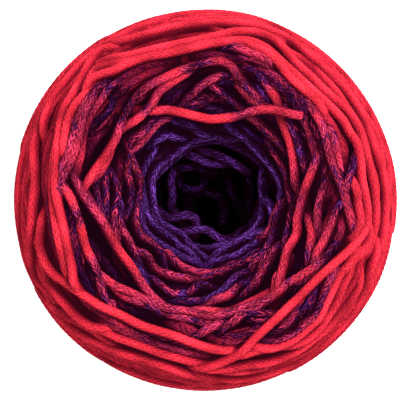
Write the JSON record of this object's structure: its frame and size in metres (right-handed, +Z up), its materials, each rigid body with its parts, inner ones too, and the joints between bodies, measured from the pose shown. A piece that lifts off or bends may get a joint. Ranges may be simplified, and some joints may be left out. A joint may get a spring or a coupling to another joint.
{
  "type": "ball of craft cord",
  "caption": "Squat ball of knitted craft cord, cross-wound around an open middle, with a loose cut end lying over its crown.",
  "frame": {"origin": "middle of the flat spot underneath, on the surface that the ball rests on", "axes": "+Z up along the winding axis, +X and +Y across it; the loose end lies on the +Y side of the crown"},
  "size_m": [0.1272, 0.1272, 0.093],
  "materials": {
    "wound_cord": "matte",
    "loose_end": "matte"
  },
  "bodies": {
    "root": {"wound_cord": "wound_cord", "loose_end": "loose_end"}
  },
  "joints": []
}
